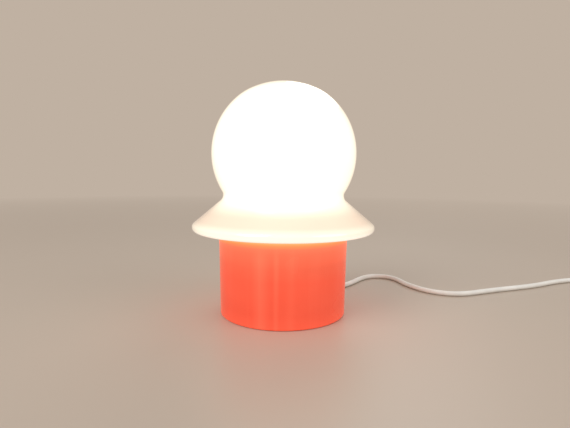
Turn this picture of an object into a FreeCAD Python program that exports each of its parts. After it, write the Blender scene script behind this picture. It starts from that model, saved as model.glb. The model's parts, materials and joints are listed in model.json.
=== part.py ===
import FreeCAD, Part
import math
import os

# Mushroom table lamp: a drum base with a loose opal glass shade, one bulb on a bracket,
# and a mains lead with an in-line switch, a put-away coil and a two-pin plug.
# Millimetres, +Z up, origin on the table under the middle of the drum.

Vector = FreeCAD.Vector
ORIGIN = Vector(0, 0, 0)
UP = Vector(0, 0, 1)
ALONG_X = Vector(1, 0, 0)
ALONG_Y = Vector(0, 1, 0)

# Drum base, a little wider at its top
BASE_RADIUS = 59.8
BASE_DRAFT = 1.0
BASE_WALL = 3.0
BASE_LOWER_EDGE_Z = 0.6
SEAT_Z = 81.0
EDGE_ROUND = 0.6
PLATE_RADIUS = 56.5
PLATE_BOTTOM_Z = 2.0
PLATE_TOP_Z = 5.0
BOSS_RADIUS = 4.2
BOSS_TOP_Z = 16.0
BOSS_RING_RADIUS = 50.5
BOSS_AZIMUTHS = (110.0, 230.0, 350.0)
FOOT_RADIUS = 6.0
FOOT_RING_RADIUS = 45.0
FOOT_AZIMUTHS = (50.0, 170.0, 290.0)

# Opal glass shade
GLASS_WALL = 3.0
BALL_RADIUS = 68.0
BALL_Z = 151.1
CROWN_RADIUS = 74.0
CROWN_TOP_Z = 217.9
SHOULDER_RADIUS = 50.0
NECK_ROUND = 6.6
FLARE_SLOPE = 40.0
BRIM_RADIUS = 86.2
ROLL_RADIUS = 4.4
ROLL_Z = 83.1
UNDERSIDE_SLOPE = 7.0
COLLAR_RADIUS = 57.2
COLLAR_BOTTOM_Z = 72.0

# Screw sizes: shank radius, head radius, head height
SMALL_SCREW = (1.45, 2.8, 1.8)
BRACKET_SCREW = (1.95, 3.6, 2.4)
SCREW_CLEARANCE = 0.15
SCREW_FIT = 0.05

# Lampholder on its bracket
BRACKET_THICKNESS = 1.5
BRACKET_WIDTH = 18.0
BRACKET_HALF_SPAN = 24.0
BRACKET_FOOT_END = 38.0
BRACKET_BEND = 2.2
BRACKET_AZIMUTH = 140.0
BRACKET_SCREW_REACH = 32.0
BRIDGE_TOP_Z = 40.0
STEM_RADIUS = 5.0
STEM_BORE_RADIUS = 3.6
STEM_BOTTOM_Z = 31.0
STEM_TOP_Z = 47.0
NUT_HEIGHT = 3.2
WASHER_THICKNESS = 0.8
HOLDER_RADIUS = 14.2
HOLDER_WALL = 2.0
HOLDER_CORNER = 3.0
HOLDER_BEVEL = 0.4
HOLDER_SPLIT_Z = 58.0
HOLDER_TOP_Z = 84.0
HOLDER_MOUTH_RADIUS = 8.4
CORE_RADIUS = 10.8
CORE_BOTTOM_Z = 53.0
CORE_TOP_Z = 62.0
CORE_RECESS_Z = 57.0
SLEEVE_BORE_RADIUS = 7.25
SLEEVE_FLANGE_RADIUS = 9.4
SLEEVE_WALL = 0.4
SLEEVE_FLARE = 0.8
SLEEVE_TOP_Z = 80.0
TERMINAL_OFFSET = 7.4
TERMINAL_END_Z = 58.0

# Bulb with a 14 mm screw cap
BULB_TIP_Z = 61.0
TIP_HEIGHT = 1.3
CAP_BOTTOM_Z = 66.0
CAP_TOP_Z = 86.0
CAP_RADIUS = 6.9
CAP_WALL = 0.4
BULB_RADIUS = 22.5
BULB_CENTRE_Z = 116.5
BULB_NECK_RADIUS = 7.2
BULB_NECK_Z = 87.0
BULB_GLASS_WALL = 0.9
BULB_STEM_TOP_Z = 101.0
FILAMENT_Z = 113.0
FILAMENT_HALF_SPAN = 7.0

# Mains lead
CORD_RADIUS = 2.7
CORD_AZIMUTH = 50.0
WIRE_RADIUS = 1.1
WIRE_OFFSET = 1.25
EXIT_Z = 8.5
SHEATH_END_Z = 48.0
CLAMP_REACH = 40.0
CLAMP_SCREW_SPREAD = 7.5
CLAMP_TOP_Z = 12.8
BOOT_NECK_RADIUS = 5.0
BOOT_DISC_RADIUS = 6.4
BOOT_DISC_THICKNESS = 1.6
BOOT_ROOT_RADIUS = 5.2
BOOT_TIP_RADIUS = 3.3
BOOT_TIP_REACH = 88.0
BOOT_DROOP = 8.0
BOOT_INNER_REACH = 54.8
BOOT_ROOT_REACH = BASE_RADIUS + 1.0
ARC_SHARE = 0.45

# In-line switch, its long side along Y
SWITCH_X = 414.0
SWITCH_Y = 38.0
SWITCH_HALF_LENGTH = 30.0
SWITCH_HALF_WIDTH = 13.5
SWITCH_SPLIT_Z = 8.0
SWITCH_TOP_Z = 15.5
SWITCH_WALL = 1.8
ROCKER_AXIS_Z = 12.3
ROCKER_REACH = 11.6
ROCKER_HALF_WIDTH = 5.6
ROCKER_TILT = 9.0
ROCKER_GAP = 0.4
ROCKER_PIN_RADIUS = 1.0
ROCKER_PIN_REACH = 9.0
BLADE_DROP = 2.9
BLADE_THICKNESS = 0.6
CONTACT_OFFSET = 2.8
SWITCH_POSTS = ((8.4, 22.5), (-8.4, -22.5))
SWITCH_POST_RADIUS = 4.0
SWITCH_SCREW_SINK = 2.1
SWITCH_SCREW_END_Z = 12.1

# Coil of put-away lead: its centreline starts on its left, and winds anticlockwise
COIL_START_X = 412.0
COIL_Y = -35.0
COIL_LIFT = 0.9
COIL_OUTER_RADIUS = 38.5
COIL_PITCH = 5.9
COIL_HALF_TURNS_IN = 5
COIL_STUB = 6.0

# Plug, lying flat with its pins along +Y
PLUG_X = 499.0
PLUG_BOOT_Y = 66.0
PLUG_BODY_Y = 90.0
PLUG_FACE_Y = 122.0
PLUG_AXIS_Z = 6.9
PLUG_NECK_RADIUS = 4.9
PIN_RADIUS = 2.0
PIN_SPACING = 18.6
PIN_LENGTH = 19.0
PIN_SLEEVE_LENGTH = 10.0
PIN_SLEEVE_RADIUS = 1.8
PIN_CORE_RADIUS = 1.4
PIN_ROOT = 7.5


def outline(start, *steps):
    """Face in the XZ plane: a step is an end point, or a pair of a point passed and an end point."""

    def lift(point):
        return Vector(point[0], 0, point[1])

    edges = []
    here = start
    for step in steps + (start,):
        if isinstance(step[0], tuple):
            through, end = step
            edges.append(Part.Arc(lift(here), lift(through), lift(end)).toShape())
        else:
            end = step
            if end != here:
                edges.append(Part.LineSegment(lift(here), lift(end)).toShape())
        here = end
    return Part.Face(Part.Wire(edges))


def turned(start, *steps):
    """Solid of revolution about Z from an outline."""
    return outline(start, *steps).revolve(ORIGIN, UP, 360)


def polar(centre, radius, degrees):
    """Point of a circle in the XZ plane."""
    angle = math.radians(degrees)
    return (centre[0] + radius * math.cos(angle), centre[1] + radius * math.sin(angle))


def cylinder(radius, low, high, x=0.0, y=0.0):
    return Part.makeCylinder(radius, high - low, Vector(x, y, low))


def pipe(outer, inner, low, high):
    return cylinder(outer, low, high).cut(cylinder(inner, low - 1, high + 1))


def box(low, high):
    size = [b - a for a, b in zip(low, high)]
    return Part.makeBox(size[0], size[1], size[2], Vector(*low))


def spun(shape, azimuth):
    """Copy of a shape turned about Z."""
    copy = shape.copy()
    copy.rotate(ORIGIN, UP, azimuth)
    return copy


def moved(shape, x, y, z=0.0):
    copy = shape.copy()
    copy.translate(Vector(x, y, z))
    return copy


def radial(reach, z, azimuth=CORD_AZIMUTH):
    """Point at a distance from the Z axis on an azimuth."""
    angle = math.radians(azimuth)
    return Vector(reach * math.cos(angle), reach * math.sin(angle), z)


def rounded_box(low, high, radius):
    """Box with its upright edges rounded."""
    solid = box(low, high)
    upright = [
        edge
        for edge in solid.Edges
        if abs(edge.Vertexes[0].Z - edge.Vertexes[1].Z) > 0.9 * (high[2] - low[2])
    ]
    return solid.makeFillet(radius, upright)


def unit(vector):
    return vector * (1.0 / vector.Length)


def corner_arc(before, corner, after, tangent_length):
    """Start, middle and end of the arc that rounds a corner, and its radius."""
    back = unit(before - corner)
    ahead = unit(after - corner)
    turn = math.pi - back.getAngle(ahead)
    radius = tangent_length / math.tan(turn / 2)
    bisector = unit(back + ahead)
    to_middle = radius * (1 / math.cos(turn / 2) - 1)
    start = corner + back * tangent_length
    end = corner + ahead * tangent_length
    return start, corner + bisector * to_middle, end, radius


def route_edges(points, radii=None):
    """Straight runs joined by tangent arcs as large as the shorter run beside each corner allows."""
    edges = []
    here = points[0]
    for before, corner, after in zip(points, points[1:], points[2:]):
        shorter = min((corner - before).Length, (after - corner).Length)
        start, middle, end, radius = corner_arc(before, corner, after, ARC_SHARE * shorter)
        if radii is not None:
            radii.append(round(radius, 1))
        edges.append(Part.LineSegment(here, start).toShape())
        edges.append(Part.Arc(start, middle, end).toShape())
        here = end
    edges.append(Part.LineSegment(here, points[-1]).toShape())
    return edges


def swept(edges, radius):
    """Round tube along edges that join smoothly."""
    first = edges[0]
    start = first.valueAt(first.FirstParameter)
    heading = first.tangentAt(first.FirstParameter)
    ring = Part.Wire([Part.makeCircle(radius, start, heading)])
    return Part.Solid(Part.Wire(edges).makePipeShell([ring], True, False))


def cord_tube(name, points, radius=CORD_RADIUS):
    """Cord along a route, with its radii and its volume printed for checking."""
    radii = []
    edges = route_edges([Vector(*point) for point in points], radii)
    tube = swept(edges, radius)
    length = sum(edge.Length for edge in edges)
    share = tube.Volume / (math.pi * radius**2 * length)
    print(f"{name}: length {length:.1f} mm, volume over section by length {share:.4f}")
    print(f"{name}: radii {radii}")
    return tube


def bent_strip(corners, thickness, bend_radius, width):
    """Strip of sheet that follows corners in the XZ plane, bent at each, centred on Y = 0."""
    middle = [Vector(x, 0, z) for x, z in corners]
    sides = []
    for side in (thickness / 2, -thickness / 2):
        edges = []
        here = None
        for index, corner in enumerate(middle):
            ends = [middle[k] for k in (index - 1, index + 1) if 0 <= k < len(middle)]
            if len(ends) == 1:
                heading = unit(ends[0] - corner) * (1 if index == 0 else -1)
                point = corner + Vector(-heading.z, 0, heading.x) * side
                if here is not None:
                    edges.append(Part.LineSegment(here, point).toShape())
                here = point
                continue
            arriving = unit(corner - ends[0])
            leaving = unit(ends[1] - corner)
            turn = arriving.getAngle(leaving)
            left_turn = arriving.x * leaving.z - arriving.z * leaving.x > 0
            reach = bend_radius * math.tan(turn / 2)
            centre_side = 1 if left_turn else -1
            normal_in = Vector(-arriving.z, 0, arriving.x) * centre_side
            normal_out = Vector(-leaving.z, 0, leaving.x) * centre_side
            centre = corner - arriving * reach + normal_in * bend_radius
            radius = bend_radius - side * centre_side
            start = centre - normal_in * radius
            end = centre - normal_out * radius
            through = centre - unit(normal_in + normal_out) * radius
            edges.append(Part.LineSegment(here, start).toShape())
            edges.append(Part.Arc(start, through, end).toShape())
            here = end
        sides.append(edges)
    left, right = sides
    left_ends = left[0].Vertexes[0].Point, left[-1].Vertexes[1].Point
    right_ends = right[0].Vertexes[0].Point, right[-1].Vertexes[1].Point
    closing = [Part.LineSegment(a, b).toShape() for a, b in zip(left_ends, right_ends)]
    loop = Part.Wire(Part.__sortEdges__(left + right + closing))
    strip = Part.Face(loop).extrude(ALONG_Y * width)
    return moved(strip, 0, -width / 2)


def screw(size, head_base_z, shank_end_z, x=0.0, y=0.0):
    """Cross-head screw along Z, its head on the far side of head_base_z from its shank."""
    shank_radius, head_radius, head_height = size
    out = 1 if head_base_z > shank_end_z else -1
    axis = UP * out
    head = Part.makeCone(head_radius, 0.72 * head_radius, head_height, Vector(x, y, head_base_z), axis)
    length = abs(head_base_z - shank_end_z)
    shank = Part.makeCylinder(shank_radius, length, Vector(x, y, head_base_z), -axis)
    slot_depth = 0.55 * head_height
    top = head_base_z + out * head_height
    slot_low, slot_high = sorted((top - out * slot_depth, top + out))
    long_side, short_side = 0.95 * head_radius / 2, 0.22 * head_radius / 2
    slots = [
        box((x - a, y - b, slot_low), (x + a, y + b, slot_high))
        for a, b in ((long_side, short_side), (short_side, long_side))
    ]
    return head.fuse(shank).cut(slots[0]).cut(slots[1]).removeSplitter()


def drum_radius(z):
    """Outer radius of the drum at a height: its wall leans out by the draft."""
    return BASE_RADIUS + (z - BASE_LOWER_EDGE_Z) * math.tan(math.radians(BASE_DRAFT))


def drum():
    """Moulded drum with three screw bosses low inside and the cord hole at its back."""
    inner, top = BASE_RADIUS - BASE_WALL, drum_radius(SEAT_Z)
    low, high = BASE_LOWER_EDGE_Z, SEAT_Z
    shell = turned(
        (BASE_RADIUS, low + EDGE_ROUND),
        (top, high - EDGE_ROUND),
        (polar((top - EDGE_ROUND, high - EDGE_ROUND), EDGE_ROUND, 45), (top - EDGE_ROUND, high)),
        (top - BASE_WALL + EDGE_ROUND, high),
        (top - BASE_WALL, high - EDGE_ROUND),
        (inner, low),
        (BASE_RADIUS - EDGE_ROUND, low),
        (
            polar((BASE_RADIUS - EDGE_ROUND, low + EDGE_ROUND), EDGE_ROUND, -45),
            (BASE_RADIUS, low + EDGE_ROUND),
        ),
    )
    web_half = 2.0
    for azimuth in BOSS_AZIMUTHS:
        boss = cylinder(BOSS_RADIUS, PLATE_TOP_Z, BOSS_TOP_Z, BOSS_RING_RADIUS)
        web = box(
            (BOSS_RING_RADIUS, -web_half, PLATE_TOP_Z),
            (inner + BASE_WALL / 2, web_half, BOSS_TOP_Z),
        )
        pilot = cylinder(SMALL_SCREW[0] + SCREW_FIT, 0, BOSS_TOP_Z - 2, BOSS_RING_RADIUS)
        shell = shell.fuse(spun(boss.fuse(web), azimuth)).cut(spun(pilot, azimuth))
    hole_start = inner - BASE_WALL
    hole_length = 3 * BASE_WALL
    hole = Part.makeCylinder(BOOT_NECK_RADIUS + 0.1, hole_length, radial(hole_start, EXIT_Z), radial(1, 0))
    return shell.cut(hole).removeSplitter()


def ballast_plate():
    """Steel disc that closes the drum, with countersinks below, tapped holes and a cord notch."""
    plate = cylinder(PLATE_RADIUS, PLATE_BOTTOM_Z, PLATE_TOP_Z)
    shank, head, head_height = SMALL_SCREW
    for azimuth in BOSS_AZIMUTHS:
        hole = cylinder(shank + SCREW_CLEARANCE, 0, PLATE_TOP_Z + 1, BOSS_RING_RADIUS)
        sink = cylinder(head + SCREW_CLEARANCE, 0, PLATE_BOTTOM_Z + head_height, BOSS_RING_RADIUS)
        plate = plate.cut(spun(hole.fuse(sink), azimuth))
    tapped = BRACKET_SCREW[0] + SCREW_FIT
    for x in (-BRACKET_SCREW_REACH, BRACKET_SCREW_REACH):
        plate = plate.cut(spun(cylinder(tapped, 0, PLATE_TOP_Z + 1, x), BRACKET_AZIMUTH))
    for y in (-CLAMP_SCREW_SPREAD, CLAMP_SCREW_SPREAD):
        hole = cylinder(SMALL_SCREW[0] + SCREW_FIT, 0, PLATE_TOP_Z + 1, CLAMP_REACH, y)
        plate = plate.cut(spun(hole, CORD_AZIMUTH))
    notch_reach, notch_half_width = 53.0, 8.0
    notch = box((notch_reach, -notch_half_width, 0), (BASE_RADIUS, notch_half_width, PLATE_TOP_Z + 1))
    return plate.cut(spun(notch, CORD_AZIMUTH)).removeSplitter()


def feet():
    """Three rubber discs under the ballast plate."""
    bevel = 0.4
    foot = turned(
        (0, 0),
        (FOOT_RADIUS - bevel, 0),
        (FOOT_RADIUS, bevel),
        (FOOT_RADIUS, PLATE_BOTTOM_Z),
        (0, PLATE_BOTTOM_Z),
    )
    return Part.Compound([spun(moved(foot, FOOT_RING_RADIUS, 0), a) for a in FOOT_AZIMUTHS])


def plate_screws():
    """Three screws, heads sunk in the plate from below, shanks up into the bosses."""
    sunk_z = PLATE_BOTTOM_Z + SMALL_SCREW[2]
    one = screw(SMALL_SCREW, sunk_z, BOSS_TOP_Z - 4, BOSS_RING_RADIUS)
    return Part.Compound([spun(one, azimuth) for azimuth in BOSS_AZIMUTHS])


def holder_bracket():
    """Steel strap bent into a bridge over the lead, with a foot screwed down at each end."""
    half = BRACKET_THICKNESS / 2
    low, high = PLATE_TOP_Z + half, BRIDGE_TOP_Z - half
    span, foot_end = BRACKET_HALF_SPAN, BRACKET_FOOT_END
    corners = [(-foot_end, low), (-span, low), (-span, high), (span, high), (span, low), (foot_end, low)]
    strap = bent_strip(corners, BRACKET_THICKNESS, BRACKET_BEND, BRACKET_WIDTH)
    strap = strap.cut(cylinder(STEM_RADIUS + 0.1, STEM_BOTTOM_Z, STEM_TOP_Z))
    for x in (-BRACKET_SCREW_REACH, BRACKET_SCREW_REACH):
        hole = cylinder(BRACKET_SCREW[0] + SCREW_CLEARANCE, 0, 2 * PLATE_TOP_Z, x)
        strap = strap.cut(hole)
    return spun(strap, BRACKET_AZIMUTH)


def bracket_screws():
    head_z = PLATE_TOP_Z + BRACKET_THICKNESS
    pair = [
        screw(BRACKET_SCREW, head_z, PLATE_BOTTOM_Z + 0.2, x)
        for x in (-BRACKET_SCREW_REACH, BRACKET_SCREW_REACH)
    ]
    return spun(Part.Compound(pair), BRACKET_AZIMUTH)


def stem_tube():
    """Short threaded tube that clamps the lampholder to the bridge and passes the lead."""
    return pipe(STEM_RADIUS, STEM_BORE_RADIUS, STEM_BOTTOM_Z, STEM_TOP_Z)


def stem_nut():
    """Hexagon nut under the bridge."""
    corner_reach, bevel_depth = 8.1, 0.6
    corners = [Vector(*polar((0, 0), corner_reach, 60 * k), 0) for k in range(7)]
    low = BRIDGE_TOP_Z - BRACKET_THICKNESS - WASHER_THICKNESS - NUT_HEIGHT
    prism = moved(Part.Face(Part.makePolygon(corners)).extrude(UP * NUT_HEIGHT), 0, 0, low)
    bevel = Part.makeCone(
        corner_reach + NUT_HEIGHT, corner_reach - bevel_depth, NUT_HEIGHT + bevel_depth, Vector(0, 0, low)
    )
    bore = cylinder(STEM_RADIUS + SCREW_FIT, STEM_BOTTOM_Z, STEM_TOP_Z)
    return spun(prism.common(bevel).cut(bore), BRACKET_AZIMUTH)


def stem_washer():
    """Shakeproof washer with teeth round its rim."""
    top = BRIDGE_TOP_Z - BRACKET_THICKNESS
    low = top - WASHER_THICKNESS
    rim_radius, root_radius, half_gap, teeth = 8.6, 7.2, 0.5, 12
    ring = pipe(rim_radius, STEM_RADIUS + SCREW_CLEARANCE, low, top)
    tooth_gap = box((root_radius, -half_gap, low - 1), (rim_radius + 1, half_gap, top + 1))
    for k in range(teeth):
        ring = ring.cut(spun(tooth_gap, 360 / teeth * k))
    return ring


def holder_cap():
    """Lower half of the lampholder: a cup screwed onto the stem."""
    inner = HOLDER_RADIUS - HOLDER_WALL
    floor_z = BRIDGE_TOP_Z + HOLDER_CORNER
    flat = HOLDER_RADIUS - HOLDER_CORNER
    bore = STEM_RADIUS + SCREW_FIT
    boss, cove = 8.0, 1.0
    return turned(
        (bore, BRIDGE_TOP_Z),
        (flat, BRIDGE_TOP_Z),
        (polar((flat, floor_z), HOLDER_CORNER, -45), (HOLDER_RADIUS, floor_z)),
        (HOLDER_RADIUS, HOLDER_SPLIT_Z - HOLDER_BEVEL),
        (HOLDER_RADIUS - HOLDER_BEVEL, HOLDER_SPLIT_Z),
        (inner, HOLDER_SPLIT_Z),
        (inner, floor_z + cove),
        (inner - cove, floor_z),
        (boss, floor_z),
        (boss, STEM_TOP_Z),
        (bore, STEM_TOP_Z),
    )


def holder_shell():
    """Upper half of the lampholder: a skirt with a spigot into the cap and a mouth for the bulb."""
    draft, lip, shoulder = 0.8, 2.0, 1.5
    upper_radius = HOLDER_RADIUS - draft
    upper_inner = upper_radius - HOLDER_WALL
    spigot_radius = HOLDER_RADIUS - HOLDER_WALL - 0.1
    spigot_bore = spigot_radius - 1.1
    spigot_z = HOLDER_SPLIT_Z - 5.0
    shoulder_centre = (upper_radius - shoulder, HOLDER_TOP_Z - shoulder)
    return turned(
        (spigot_bore, spigot_z),
        (spigot_radius, spigot_z),
        (spigot_radius, HOLDER_SPLIT_Z),
        (HOLDER_RADIUS - HOLDER_BEVEL, HOLDER_SPLIT_Z),
        (HOLDER_RADIUS, HOLDER_SPLIT_Z + HOLDER_BEVEL),
        (upper_radius, shoulder_centre[1]),
        (polar(shoulder_centre, shoulder, 45), (shoulder_centre[0], HOLDER_TOP_Z)),
        (HOLDER_MOUTH_RADIUS, HOLDER_TOP_Z),
        (HOLDER_MOUTH_RADIUS, HOLDER_TOP_Z - lip),
        (upper_inner, HOLDER_TOP_Z - lip - 0.5),
        (upper_inner, HOLDER_SPLIT_Z + lip + 1.0),
        (spigot_bore, HOLDER_SPLIT_Z + lip),
    )


def holder_core():
    """Insulating block that carries the threaded sleeve, the centre contact and two terminals."""
    recess_radius = 5.6
    block = turned(
        (0, CORE_BOTTOM_Z),
        (CORE_RADIUS, CORE_BOTTOM_Z),
        (CORE_RADIUS, CORE_TOP_Z),
        (recess_radius, CORE_TOP_Z),
        (recess_radius, CORE_RECESS_Z),
        (0, CORE_RECESS_Z),
    )
    for x in (-TERMINAL_OFFSET, TERMINAL_OFFSET):
        hole = cylinder(SMALL_SCREW[0] + SCREW_FIT, CORE_BOTTOM_Z - 1, TERMINAL_END_Z + 1, x)
        block = block.cut(hole)
    return block


def thread_sleeve():
    """Brass sleeve that the bulb screws into, on a narrow flange."""
    outer = SLEEVE_BORE_RADIUS + SLEEVE_WALL
    return turned(
        (SLEEVE_BORE_RADIUS, CORE_TOP_Z),
        (SLEEVE_FLANGE_RADIUS, CORE_TOP_Z),
        (SLEEVE_FLANGE_RADIUS, CORE_TOP_Z + SLEEVE_WALL),
        (outer, CORE_TOP_Z + SLEEVE_WALL),
        (outer, SLEEVE_TOP_Z - SLEEVE_FLARE),
        (outer + SLEEVE_WALL, SLEEVE_TOP_Z),
        (SLEEVE_BORE_RADIUS + SLEEVE_WALL, SLEEVE_TOP_Z),
        (SLEEVE_BORE_RADIUS, SLEEVE_TOP_Z - SLEEVE_FLARE),
    )


def centre_contact():
    """Spring strip folded up in the core's recess to the tip of the bulb."""
    thickness, bend_radius, width = 0.4, 0.7, 4.0
    floor = CORE_RECESS_Z + thickness / 2
    tongue = BULB_TIP_Z - 0.3
    corners = [(-3.6, floor), (3.4, floor), (3.4, tongue), (-2.6, tongue)]
    return bent_strip(corners, thickness, bend_radius, width)


def terminal_screws():
    """Two terminal screws, heads under the core."""
    places = (-TERMINAL_OFFSET, TERMINAL_OFFSET)
    return Part.Compound([screw(SMALL_SCREW, CORE_BOTTOM_Z, TERMINAL_END_Z, x) for x in places])


def ribbed_taper(start_radius, end_radius, length, grooves):
    """Round taper along Z from Z = 0, with grooves that let it bend."""
    depth, flank, groove_width = 0.8, 0.4, 1.4
    margin = 3.0
    step = (length - 2 * margin) / grooves
    steps = [(0, 0), (start_radius, 0)]
    for k in range(grooves):
        z = margin + k * step
        radius = start_radius + (end_radius - start_radius) * z / length
        steps += [
            (radius, z),
            (radius - depth, z + flank),
            (radius - depth, z + groove_width),
            (radius, z + groove_width + flank),
        ]
    return turned(*steps, (end_radius, length), (0, length))


def cord_boot():
    """Rubber strain relief: discs on both sides of the wall, and a ribbed taper that droops."""
    wall_out = drum_radius(EXIT_Z + BOOT_DISC_RADIUS)
    wall_in = BOOT_INNER_REACH + BOOT_DISC_THICKNESS
    discs = [
        Part.makeCylinder(radius, length, Vector(reach, 0, EXIT_Z), ALONG_X)
        for radius, length, reach in (
            (BOOT_DISC_RADIUS, BOOT_DISC_THICKNESS, BOOT_INNER_REACH),
            (BOOT_NECK_RADIUS, wall_out - wall_in, wall_in),
            (BOOT_DISC_RADIUS, BOOT_DISC_THICKNESS, wall_out),
        )
    ]
    length = (BOOT_TIP_REACH - BOOT_ROOT_REACH) / math.cos(math.radians(BOOT_DROOP))
    taper = ribbed_taper(BOOT_ROOT_RADIUS, BOOT_TIP_RADIUS, length, 6)
    taper.rotate(ORIGIN, ALONG_Y, 90 + BOOT_DROOP)
    taper.translate(Vector(BOOT_ROOT_REACH, 0, EXIT_Z))
    return spun(taper.fuse(discs).removeSplitter(), CORD_AZIMUTH)


def cord_clamp():
    """Saddle over the lead, screwed to the ballast plate."""
    half_length, half_width, corner = 4.0, 11.0, 1.5
    near, far = CLAMP_REACH - half_length, CLAMP_REACH + half_length
    saddle = rounded_box((near, -half_width, PLATE_TOP_Z), (far, half_width, CLAMP_TOP_Z), corner)
    channel = CORD_RADIUS + 0.05
    crown = Part.makeCylinder(channel, 2 * half_length, Vector(near, 0, EXIT_Z), ALONG_X)
    slot = box((near, -channel, 0), (far, channel, EXIT_Z))
    saddle = saddle.cut(crown).cut(slot)
    for y in (-CLAMP_SCREW_SPREAD, CLAMP_SCREW_SPREAD):
        hole = cylinder(SMALL_SCREW[0] + SCREW_CLEARANCE, 0, CLAMP_TOP_Z + 1, CLAMP_REACH, y)
        saddle = saddle.cut(hole)
    return spun(saddle, CORD_AZIMUTH)


def clamp_screws():
    pair = [
        screw(SMALL_SCREW, CLAMP_TOP_Z, PLATE_BOTTOM_Z + 0.2, CLAMP_REACH, y)
        for y in (-CLAMP_SCREW_SPREAD, CLAMP_SCREW_SPREAD)
    ]
    return spun(Part.Compound(pair), CORD_AZIMUTH)


def inner_cord():
    """Lead inside the drum: from the boot, through the clamp, up the stem into the cap."""
    points = [radial(BOOT_INNER_REACH, EXIT_Z), Vector(0, 0, EXIT_Z), Vector(0, 0, SHEATH_END_Z)]
    return cord_tube("inner_cord", points)


def holder_wire(side):
    """Insulated wire from the end of the sheath to one terminal."""
    terminal_x = side * (TERMINAL_OFFSET - 3.9)
    points = [
        (side * WIRE_OFFSET, 0, SHEATH_END_Z),
        (side * WIRE_OFFSET, 0, SHEATH_END_Z + 1.8),
        (terminal_x, 0, CORE_BOTTOM_Z - WIRE_OFFSET),
        (terminal_x, 0, CORE_BOTTOM_Z),
    ]
    edges = route_edges([Vector(*point) for point in points])
    return swept(edges, WIRE_RADIUS)


def circle_crossing(low_z, low_radius, high_z, high_radius):
    """Point where two circles that are centred on the Z axis cross."""
    z = (low_radius**2 - high_radius**2) / (2 * (high_z - low_z)) + (low_z + high_z) / 2
    return (math.sqrt(low_radius**2 - (z - low_z) ** 2), z)


def elevation(centre, point):
    """Angle above level at which a point is seen from a centre, in degrees."""
    return math.degrees(math.atan2(point[1] - centre[1], point[0] - centre[0]))


def shade_curve(inset):
    """Joints of the shade's outline, drawn inset from its outer face."""
    ball = BALL_RADIUS - inset
    crown = CROWN_RADIUS - inset
    shoulder = SHOULDER_RADIUS - inset
    hollow = NECK_ROUND + inset
    roll = ROLL_RADIUS - inset
    crown_centre = (0, CROWN_TOP_Z - CROWN_RADIUS)
    shoulder_centre = circle_crossing(
        crown_centre[1], CROWN_RADIUS - SHOULDER_RADIUS, BALL_Z, BALL_RADIUS - SHOULDER_RADIUS
    )
    crown_end = elevation(crown_centre, shoulder_centre)
    shoulder_end = elevation((0, BALL_Z), shoulder_centre)
    roll_centre = (BRIM_RADIUS - ROLL_RADIUS, ROLL_Z)
    slope = math.radians(FLARE_SLOPE)
    reach = BALL_RADIUS + NECK_ROUND
    offset = (
        math.sin(slope) * roll_centre[0]
        + math.cos(slope) * (roll_centre[1] - BALL_Z)
        + ROLL_RADIUS
        + NECK_ROUND
    )
    latitude = FLARE_SLOPE - math.degrees(math.asin(offset / reach))
    neck_centre = polar((0, BALL_Z), reach, -latitude)
    normal = 90 - FLARE_SLOPE
    return {
        "pole": (0, crown_centre[1] + crown),
        "crown_middle": polar(crown_centre, crown, (90 + crown_end) / 2),
        "crown_end": polar(crown_centre, crown, crown_end),
        "shoulder_middle": polar(shoulder_centre, shoulder, (crown_end + shoulder_end) / 2),
        "shoulder_end": polar(shoulder_centre, shoulder, shoulder_end),
        "ball_middle": polar((0, BALL_Z), ball, 20),
        "ball_end": polar((0, BALL_Z), ball, -latitude),
        "neck_middle": polar(neck_centre, hollow, 180 + (normal - latitude) / 2),
        "neck_end": polar(neck_centre, hollow, 180 + normal),
        "roll_start": polar(roll_centre, roll, normal),
        "roll_middle": polar(roll_centre, roll, -20),
        "roll_end": polar(roll_centre, roll, -90 - UNDERSIDE_SLOPE),
    }


def glass_shade():
    """Blown shade: ball with a flatter crown, neck, flared brim, rolled rim, closed under to a collar."""
    outer, inner = shade_curve(0.0), shade_curve(GLASS_WALL)
    rise = math.tan(math.radians(UNDERSIDE_SLOPE))
    seat_edge = outer["roll_end"][0] - (SEAT_Z - outer["roll_end"][1]) / rise
    ceiling_z = SEAT_Z + GLASS_WALL
    ceiling_edge = inner["roll_end"][0] - (ceiling_z - inner["roll_end"][1]) / rise
    collar_bore = COLLAR_RADIUS - GLASS_WALL
    lip = GLASS_WALL / 2
    lip_z = COLLAR_BOTTOM_Z + lip
    small = 0.7
    return turned(
        outer["pole"],
        (outer["crown_middle"], outer["crown_end"]),
        (outer["shoulder_middle"], outer["shoulder_end"]),
        (outer["ball_middle"], outer["ball_end"]),
        (outer["neck_middle"], outer["neck_end"]),
        outer["roll_start"],
        (outer["roll_middle"], outer["roll_end"]),
        (seat_edge, SEAT_Z),
        (COLLAR_RADIUS + small, SEAT_Z),
        (polar((COLLAR_RADIUS + small, SEAT_Z - small), small, 135), (COLLAR_RADIUS, SEAT_Z - small)),
        (COLLAR_RADIUS, lip_z),
        ((COLLAR_RADIUS - lip, COLLAR_BOTTOM_Z), (collar_bore, lip_z)),
        (collar_bore, SEAT_Z),
        (polar((COLLAR_RADIUS, SEAT_Z), GLASS_WALL, 135), (COLLAR_RADIUS, ceiling_z)),
        (ceiling_edge, ceiling_z),
        inner["roll_end"],
        (inner["roll_middle"], inner["roll_start"]),
        inner["neck_end"],
        (inner["neck_middle"], inner["ball_end"]),
        (inner["ball_middle"], inner["shoulder_end"]),
        (inner["shoulder_middle"], inner["crown_end"]),
        (inner["crown_middle"], inner["pole"]),
    )


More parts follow.
